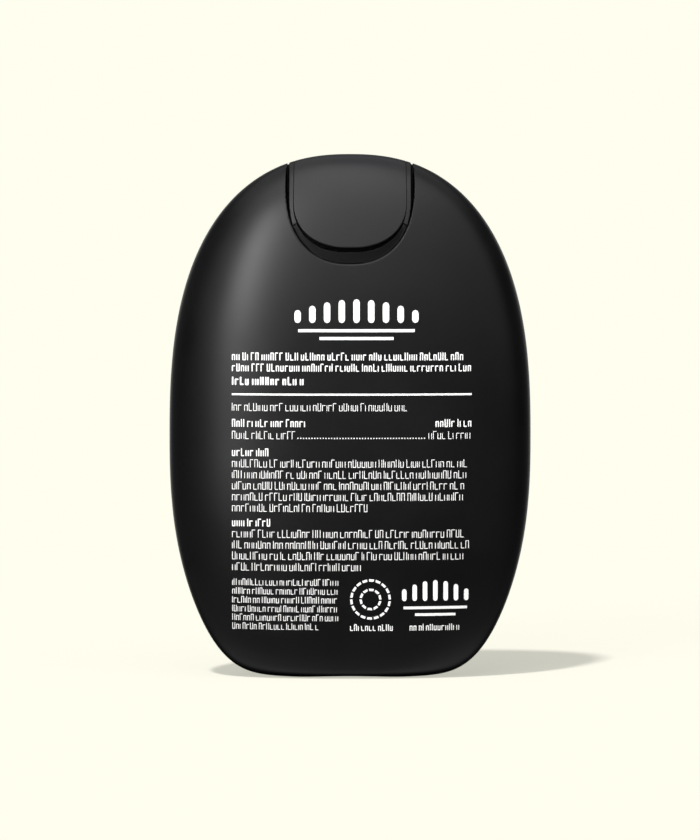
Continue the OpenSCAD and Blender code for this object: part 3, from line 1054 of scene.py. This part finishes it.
    def lid_shape(self, x: Array, y: Array, z: Array) -> Array:
        """Field of the lid."""
        lay = self.layout
        outline = lay.lid.field(x, z, lay.seam(y, -self.lid_in))
        edge = np.interp(z, (lay.lid_z + 2.0, lay.lid_z + 8.0), (self.lid_edge, self.seam_edge))
        solid = meet(lay.pebble.field(x, y, z, self.skin_in), outline, edge)
        solid = carve(solid, self.hood(x, y, z), self.edge)
        rear_in = max(self.rear_t + self.deck_gap, self.lid_wall)
        behind = carve(np.maximum(z - lay.lid_rear_z, -y), self.core(x, y, z, rear_in), self.edge)
        solid = carve(solid, behind, self.edge)
        solid = carve(solid, self.catch_groove(x, y, z), self.fine_edge)
        solid = carve(solid, self.strap_window(x, y, z), self.edge)
        return join(solid, self.seal_post(x, y, z), self.round_edge)

    def build(self) -> None:
        """Makes the base's and the lid's meshes and dresses them."""
        lay = self.layout
        half, reach = lay.notch.half + 0.3, float(lay.pebble.depth_at(0.0, lay.notch_z)) + 0.3
        inner, outer = lay.lid_half - 0.15, lay.lid_half + 0.25
        step, fine = self.net_step, self.net_fine
        across = graded((-half, -outer, step), (-outer, -inner, fine), (-inner, inner, step),
                        (inner, outer, fine), (outer, half, step))
        deep = graded((-reach, reach, step))
        tall = graded((lay.notch_z - 0.2, lay.crown_z + 0.3, step))
        base = moulded("closure_shell", self.base_shape, (across, deep, tall))
        dress(base, INJECTED_PP)
        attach(base, Body.BOTTLE.value)
        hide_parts("closure_base")
        LOG.info("closure_shell: %d faces", len(base.data.polygons))
        tall = graded((lay.crown_z - self.lid_net, lay.crown_z + 0.3, step))
        lid = moulded("flip_lid_shell", self.lid_shape, (across, deep, tall))
        dress(lid, LID_PP)
        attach(lid, Body.LID.value)
        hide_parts("flip_lid")
        LOG.info("flip_lid_shell: %d faces", len(lid.data.polygons))


@dataclass
class Hinge:
    """The two film hinge webs and the snap strap that cross the gap behind the lid."""

    layout: Layout
    web_t: float = 0.35
    web_in: float = 0.1
    web_w: float = 5.0
    web_edge: float = 1.0
    coin_share: float = 0.35
    coin_h: float = 0.28
    web_lap: float = 0.12
    strap_t: float = 0.5
    rows: int = 25

    def sheet(self, x0: float, x1: float, z0: float, z1: float, thick: float, coin: float
              ) -> tuple[Array, Array]:
        """A thin closed sheet under the rear face.

        Args:
            x0: Its left edge.
            x1: Its right edge.
            z0: Its lower edge.
            z1: Its upper edge.
            thick: Its thickness.
            coin: Share of the thickness that the hinge line loses on the outer face.

        Returns:
            The vertices, and the vertex numbers of the faces.
        """
        lay, columns = self.layout, 9
        xs, zs = np.linspace(x0, x1, columns), np.linspace(z0, z1, self.rows)
        x, z = (a.ravel() for a in np.meshgrid(xs, zs))
        thin = coin * thick * np.exp(-(((z - lay.hinge_z) / self.coin_h) ** 2))
        outer = lay.pebble.depth_at(x, z, self.web_in) - thin
        inner = lay.pebble.depth_at(x, z, self.web_in + thick)
        count = len(x)
        points = np.vstack([np.column_stack([x, outer, z]), np.column_stack([x, inner, z])])
        faces = []
        for r in range(self.rows - 1):
            for c in range(columns - 1):
                a, b = r * columns + c, (r + 1) * columns + c
                faces += [(a + 1, a, b, b + 1), (count + a, count + a + 1, count + b + 1, count + b)]
        rim = list(range(columns))
        rim += [r * columns + columns - 1 for r in range(1, self.rows)]
        rim += [(self.rows - 1) * columns + c for c in range(columns - 2, -1, -1)]
        rim += [r * columns for r in range(self.rows - 2, 0, -1)]
        for a, b in zip(rim, rim[1:] + rim[:1]):
            faces.append((a, b, count + b, count + a))
        return points, np.array(faces)

    def build(self) -> None:
        """Makes the webs and the strap between the bottle and the lid, in their shut shape."""
        lay = self.layout
        outer = lay.lid_half - self.web_edge
        webs = [
            self.sheet(a, b, lay.rear_top - self.web_lap, lay.lid_rear_z + self.web_lap,
                       self.web_t, self.coin_share)
            for a, b in ((-outer, self.web_w - outer), (outer - self.web_w, outer))
        ]
        shift = len(webs[0][0])
        points = np.vstack([w[0] for w in webs])
        faces = np.vstack([webs[0][1], webs[1][1] + shift])
        film = mesh_object("hinge_webs", points, faces)
        strap = mesh_object("hinge_snap_strap", *self.sheet(
            -lay.strap_w / 2, lay.strap_w / 2, lay.hinge_z - lay.strap_len / 2,
            lay.hinge_z + lay.strap_len / 2, self.strap_t, 0.0))
        reach_y = float(lay.pebble.depth_at(0.0, lay.hinge_z)) * MM
        for piece, node, spread in ((film, "film_hinge", lay.hinge_gap / 2),
                                    (strap, "snap_strap", lay.strap_len / 2 - 0.2)):
            dress(piece, INJECTED_PP)
            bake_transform(piece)
            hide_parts(node)
            LOG.info("%s: %d faces", piece.name, len(piece.data.polygons))


class Mark(Enum):
    """The plain marks that printed rows are made of, by the sides of a small frame that they keep."""

    POST = "l"
    HOOK = "lt"
    FOOT = "lb"
    ARCH = "ltr"
    CUP = "lbr"
    PAIR = "lr"


@dataclass(frozen=True)
class Block:
    """A block of printed rows: plain marks in place of words.

    Sizes are in millimetres. Marks stand in runs of a few, as letters stand in words.
    """

    top_z: float
    rows: int
    left: float
    right: float
    pitch: float = 1.9
    mark_h: float = 1.36
    mark_w: float = 0.58
    stroke: float = 0.105
    last_share: float = 1.0


@dataclass
class FrontPrint:
    """The white print on the front: rows of plain marks, a rule, a dotted leader and two emblems."""

    layout: Layout
    raised: float = 0.02
    sunk: float = 0.08
    seed: int = 7
    left: float = -20.2
    right: float = 20.8
    short_share: float = 0.76
    tall_chance: float = 0.3
    mark_gap_share: float = 0.33
    rule_z: float = 48.86
    rule_h: float = 0.33
    rule_step: float = 1.0
    leader_z: float = 41.45
    leader_left: float = -9.0
    leader_right: float = 13.1
    dot: float = 0.2
    dot_gap: float = 0.28
    # Left edge, lower edge, width, height and number of upright bars
    emblems: tuple = ((-10.2, 57.9, 22.6, 7.4, 9), (8.4, 10.6, 12.4, 6.6, 7))
    # Centre across, centre's height, outer radius, width of the band and number of stretches
    rings: tuple = ((3.5, 13.9, 3.5, 0.4, 18), (3.5, 13.9, 1.9, 0.4, 10))
    points: list[Array] = field(default_factory=list)
    faces: list[list[int]] = field(default_factory=list)
    count: int = 0

    def blocks(self) -> list[Block]:
        """The layout of the printed rows, from the top down."""
        left, right, bold = self.left, self.right, 0.185
        return [
            Block(56.2, 2, left, right, stroke=bold),
            Block(52.05, 1, left, -7.5, mark_h=1.45, mark_w=0.66, stroke=0.27),
            Block(47.55, 1, left, 10.3),
            Block(44.8, 1, left, -7.0, stroke=bold),
            Block(44.8, 1, 14.6, right, stroke=bold),
            Block(42.75, 1, left, -9.2),
            Block(42.75, 1, 13.4, right),
            Block(39.8, 1, left, -13.8, stroke=bold),
            Block(37.9, 5, left, right, last_share=0.58),
            Block(27.75, 1, left, -13.0, stroke=bold),
            Block(25.85, 4, left, right, last_share=0.54),
            Block(17.4, 6, left, -1.6, pitch=1.53, mark_h=1.15, mark_w=0.48, stroke=0.105, last_share=0.8),
            Block(9.6, 1, 0.0, 7.7, mark_h=1.15, mark_w=0.5, stroke=0.15),
            Block(9.6, 1, 10.2, 18.9, mark_h=1.15, mark_w=0.5, stroke=0.15),
        ]

    def place(self, outline: Array) -> None:
        """Lays one outline on the front of the bottle.

        Args:
            outline: X and Z of its points, anticlockwise in the front view.
        """
        lay = self.layout
        skin = lay.pebble.depth_at(outline[:, 0], outline[:, 1], lay.bottle_in)
        points, faces = prism(outline, -skin - self.raised, -skin + self.sunk)
        self.points.append(points)
        self.faces += [[k + self.count for k in f] for f in faces]
        self.count += len(points)

    def pill(self, x: float, z: float, width: float, height: float) -> None:
        """Lays one bar with round ends, given its lower left corner."""
        r, steps = min(width, height) / 2, 3
        outline = []
        for cx, cz, start in ((x + width - r, z + r, -90), (x + width - r, z + height - r, 0),
                              (x + r, z + height - r, 90), (x + r, z + r, 180)):
            for k in range(steps):
                angle = math.radians(start + 90 * k / (steps - 1))
                outline.append((cx + r * math.cos(angle), cz + r * math.sin(angle)))
        self.place(np.array(outline))

    def mark(self, kind: Mark, x: float, z: float, block: Block, height: float) -> float:
        """Lays one mark.

        Args:
            kind: The sides that the mark keeps.
            x: Its left edge.
            z: Its foot.
            block: The block that it belongs to.
            height: Its height.

        Returns:
            The mark's width.
        """
        stroke, width = block.stroke, block.mark_w
        bars = {
            "l": (x, z, stroke, height),
            "r": (x + width - stroke, z, stroke, height),
            "t": (x, z + height - stroke, width, stroke),
            "b": (x, z, width, stroke),
        }
        for side in kind.value:
            self.pill(*bars[side])
        return stroke if kind is Mark.POST else width

    def row(self, block: Block, top: float, right: float, chance: random.Random) -> None:
        """Lays one row of marks.

        Args:
            block: The block that the row belongs to.
            top: Height of the row's top.
            right: Where the row ends.
            chance: Source of the marks and of the runs' lengths.
        """
        x, foot, gap = block.left, top - block.mark_h, self.mark_gap_share * block.mark_w
        while x < right - block.mark_w:
            for _ in range(chance.randint(2, 8)):
                kind = chance.choice(list(Mark))
                full = chance.random() < self.tall_chance
                height = block.mark_h * (1.0 if full else self.short_share)
                if x + block.mark_w > right:
                    break
                x += self.mark(kind, x, foot, block, height) + gap
            x += 1.5 * gap

    def rule(self, z: float, left: float, right: float, height: float, step: float, gap: float) -> None:
        """Lays a rule, whole or dotted.

        Args:
            z: Height of its lower edge.
            left: Its left end.
            right: Its right end.
            height: Its thickness.
            step: Length of each stretch.
            gap: Bare length between the stretches.
        """
        x = left
        while x < right - step / 2:
            end = min(x + step, right)
            self.place(np.array([(x, z), (end, z), (end, z + height), (x, z + height)]))
            x = end + gap

    def emblem(self, left: float, low: float, width: float, height: float, bars: int) -> None:
        """Lays a plain emblem: upright bars that swell toward the middle, over a pair of level ones.

        Args:
            left: Its left edge.
            low: Its lower edge.
            width: Its width.
            height: Its height.
            bars: How many upright bars it has.
        """
        step, foot = width / bars, low + 0.45 * height
        for k in range(bars):
            tall = (height + low - foot) * (0.45 + 0.55 * math.sin(math.pi * (k + 0.5) / bars))
            self.pill(left + (k + 0.28) * step, foot, 0.44 * step, tall)
        line = 0.07 * height
        for rise, inset in ((0.24, 0.06), (0.06, 0.22)):
            self.rule(low + rise * height, left + inset * width, left + (1 - inset) * width, line,
                      self.rule_step, 0.0)

    def ring(self, x: float, z: float, radius: float, width: float, steps: int) -> None:
        """Lays a broken ring.

        Args:
            x: Its centre across.
            z: Its centre's height.
            radius: Its outer radius.
            width: Width of its band.
            steps: How many stretches it has.
        """
        inner = radius - width
        for k in range(steps):
            a, b = 2 * math.pi * k / steps, 2 * math.pi * (k + 0.72) / steps
            corners = ((inner, a), (radius, a), (radius, b), (inner, b))
            self.place(np.array([(x + r * math.cos(t), z + r * math.sin(t)) for r, t in corners]))

    def build(self) -> None:
        """Makes the print as one piece and dresses it."""
        chance = random.Random(self.seed)
        for block in self.blocks():
            for k in range(block.rows):
                last = block.last_share if k == block.rows - 1 else chance.uniform(0.98, 1.0)
                right = block.left + (block.right - block.left) * last
                self.row(block, block.top_z - k * block.pitch, right, chance)
        self.rule(self.rule_z, self.left, self.right, self.rule_h, self.rule_step, 0.0)
        self.rule(self.leader_z, self.leader_left, self.leader_right, self.dot, self.dot, self.dot_gap)
        for emblem in self.emblems:
            self.emblem(*emblem)
        for ring in self.rings:
            self.ring(*ring)
        ink = mesh_object("front_print", np.vstack(self.points), self.faces)
        ink.data.shade_flat()
        dress(ink, PrintedInk())
        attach(ink, Body.BOTTLE.value)
        LOG.info("front_print: %d faces", len(ink.data.polygons))


@dataclass
class Stage:
    """Camera, lights, floor and background."""

    lens_mm: float = 250.0
    distance: float = 1.0058
    elevation_deg: float = 3.0
    aim_x: float = -0.01
    aim_z: float = 44.15
    paper: str = "#FFFEEF"
    sun_from_deg: tuple[float, float] = (-26.5, 61.0)
    sun_strength: float = 6.5
    sun_angle_deg: float = 4.0
    floor_r: float = 0.8
    floor_share: float = 0.2
    floor_glow: float = 0.523
    fade_from: float = 0.12
    fade_to: float = 0.3
    front_level: float = 1.6
    strip_level: float = 11.7
    top_level: float = 1.0
    rear_level: float = 0.6
    low_level: float = 0.58

    def camera(self) -> None:
        """Sets the camera at the photograph's viewing angle."""
        data = bpy.data.cameras.new("camera")
        data.lens = self.lens_mm
        data.clip_start, data.clip_end = 0.01, 20.0
        camera = linked("camera", data)
        lift = math.radians(self.elevation_deg)
        back = Vector((0.0, -math.cos(lift), math.sin(lift)))
        camera.location = Vector((self.aim_x * MM, 0.0, self.aim_z * MM)) + back * self.distance
        camera.rotation_mode = "QUATERNION"
        camera.rotation_quaternion = (-back).to_track_quat("-Z", "Y")
        bpy.context.scene.camera = camera

    def sun(self) -> None:
        """A soft sun from the upper left front, which casts the shadow on the floor."""
        data = bpy.data.lights.new("key", "SUN")
        data.energy = self.sun_strength
        data.angle = math.radians(self.sun_angle_deg)
        lamp = linked("key", data)
        turn, lift = (math.radians(a) for a in self.sun_from_deg)
        toward = Vector((math.sin(turn) * math.cos(lift), -math.cos(turn) * math.cos(lift), math.sin(lift)))
        lamp.rotation_mode = "QUATERNION"
        lamp.rotation_quaternion = (-toward).to_track_quat("-Z", "Y")
        lamp.visible_glossy = False

    def floor(self) -> None:
        """A plain pale floor that keeps the shadow and runs out into the background's colour."""
        ring = [(self.floor_r * math.cos(a), self.floor_r * math.sin(a), 0.0)
                for a in np.arange(64) * 2 * math.pi / 64]
        mesh = bpy.data.meshes.new("floor")
        mesh.from_pydata(ring, [], [list(range(64))])
        floor = linked("floor", mesh)
        material, tree = empty_material("paper_ivory_matt")
        place = add(tree, "ShaderNodeTexCoord").outputs["Object"]
        distance = add(tree, "ShaderNodeVectorMath", {"operation": "LENGTH"}, i0=place)
        far = add(tree, "ShaderNodeMapRange", {"interpolation_type": "SMOOTHSTEP"},
                  Value=distance.outputs["Value"], From_Min=self.fade_from, From_Max=self.fade_to)
        tone = [c * self.floor_share for c in linear(self.paper)[:3]] + [1.0]
        matt = add(tree, "ShaderNodeBsdfDiffuse", Color=tone)
        seen = seen_directly(tree)
        lift = compute(tree, "MULTIPLY", seen, self.floor_glow)
        soft = add(tree, "ShaderNodeEmission", Color=linear(self.paper), Strength=lift)
        near = add(tree, "ShaderNodeAddShader", i0=matt.outputs[0], i1=soft.outputs[0])
        glow = add(tree, "ShaderNodeEmission", Color=linear(self.paper), Strength=1.0)
        share = compute(tree, "MULTIPLY", seen, far.outputs["Result"])
        both = add(tree, "ShaderNodeMixShader", i0=share, i1=near.outputs[0], i2=glow.outputs[0])
        add(tree, "ShaderNodeOutputMaterial", Surface=both.outputs[0])
        mesh.materials.append(material)
        floor.visible_glossy = False

    def world(self) -> None:
        """Sets softboxes all round for light, and the paper's colour for the background."""
        world = bpy.data.worlds.new("studio")
        bpy.context.scene.world = world
        world.use_nodes = True
        tree = world.node_tree
        tree.nodes.clear()
        toward = add(tree, "ShaderNodeTexCoord").outputs["Generated"]
        parts = add(tree, "ShaderNodeSeparateXYZ", i0=toward)
        front = compute(tree, "MULTIPLY", parts.outputs["Y"], -1.0)
        turn = compute(tree, "ARCTAN2", parts.outputs["X"], front)
        around = compute(tree, "MULTIPLY_ADD", turn, 1 / (2 * math.pi), 0.5)
        lift = compute(tree, "ARCSINE", parts.outputs["Z"])
        height = compute(tree, "MULTIPLY_ADD", lift, 1 / math.pi, 0.5)
        light = 0.0
        for level, sides, heights in self.softboxes():
            by_side = ramp(tree, around, [(a / 360 + 0.5, v) for a, v in sides])
            by_height = ramp(tree, height, [(a / 180 + 0.5, v) for a, v in heights])
            box = compute(tree, "MULTIPLY", by_side, by_height)
            light = compute(tree, "MULTIPLY_ADD", box, level, light)
        studio = add(tree, "ShaderNodeBackground", Color=(1.0, 1.0, 1.0, 1.0), Strength=light)
        paper = add(tree, "ShaderNodeBackground", Color=linear(self.paper), Strength=1.0)
        both = add(tree, "ShaderNodeMixShader", i0=seen_directly(tree), i1=studio.outputs[0],
                   i2=paper.outputs[0])
        add(tree, "ShaderNodeOutputWorld", Surface=both.outputs[0])

    def softboxes(self) -> list[tuple[float, list[tuple[float, float]], list[tuple[float, float]]]]:
        """The studio's lights as seen from the object.

        Returns:
            For each light its level, its profile by the angle to the right of the camera, and its
            profile by the angle above the floor, in degrees.
        """
        return [
            (self.front_level,
             [(-75, 0.0), (-45, 0.62), (-22, 0.65), (-8, 1.0), (4, 0.77), (20, 0.65), (40, 0.44), (60, 0.45),
              (85, 0.0)],
             [(-3, 0.0), (6, 0.42), (14, 0.48), (24, 0.56), (34, 0.77), (48, 0.81), (64, 1.0), (88, 0.85)]),
            (self.strip_level,
             [(-39, 0.0), (-33, 0.31), (-28, 1.0), (-22, 0.21), (-16, 0.0)],
             [(-5, 0.0), (0, 0.42), (5, 0.77), (22, 1.0), (34, 0.75), (44, 0.0)]),
            (self.top_level,
             [(-130, 0.4), (-70, 0.65), (20, 0.6), (60, 0.3), (130, 0.4)],
             [(36, 0.0), (52, 0.9), (75, 0.8)]),
            (self.rear_level,
             [(-170, 1.0), (-125, 0.15), (-85, 0.0), (85, 0.0), (125, 0.15), (170, 1.0)],
             [(-20, 0.0), (-4, 0.8), (6, 0.8), (20, 0.2), (60, 0.0)]),
            (self.low_level,
             [(-150, 0.0), (-110, 0.9), (-60, 0.89), (-20, 0.77), (10, 0.49), (60, 1.0), (110, 0.9),
              (150, 0.0)],
             [(-90, 1.0), (-50, 0.66), (-25, 0.18), (-6, 0.0)]),
        ]

    def build(self) -> None:
        """Sets the view transform and builds the stage."""
        bpy.context.scene.view_settings.view_transform = "Standard"
        self.camera()
        self.sun()
        self.floor()
        self.world()


def dress_ball() -> None:
    """Gives the mixing ball, which is its CAD node, its steel finish."""
    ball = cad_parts["mixing_ball"]
    dress(ball, PolishedSteel())
    LOG.info("mixing_ball: the packed sphere in polished steel")


def main() -> None:
    """Builds the stage and the sub-assemblies in order."""
    logging.basicConfig(level=logging.INFO, format="%(name)s: %(message)s")
    low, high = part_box("bottle_body")
    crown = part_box("flip_lid")[1].z
    pebble = Pebble(height=crown / MM, width=(high.x - low.x) / MM, depth=(high.y - low.y) / MM)
    layout = Layout(pebble)
    LOG.info("form: %.2f x %.2f x %.2f mm", pebble.width, pebble.depth, pebble.height)
    Stage().build()
    Bottle(layout).build()
    OrificePlug(layout).build()
    Closure(layout).build()
    Hinge(layout).build()
    FrontPrint(layout).build()
    dress_ball()


if __name__ == "__main__":
    main()
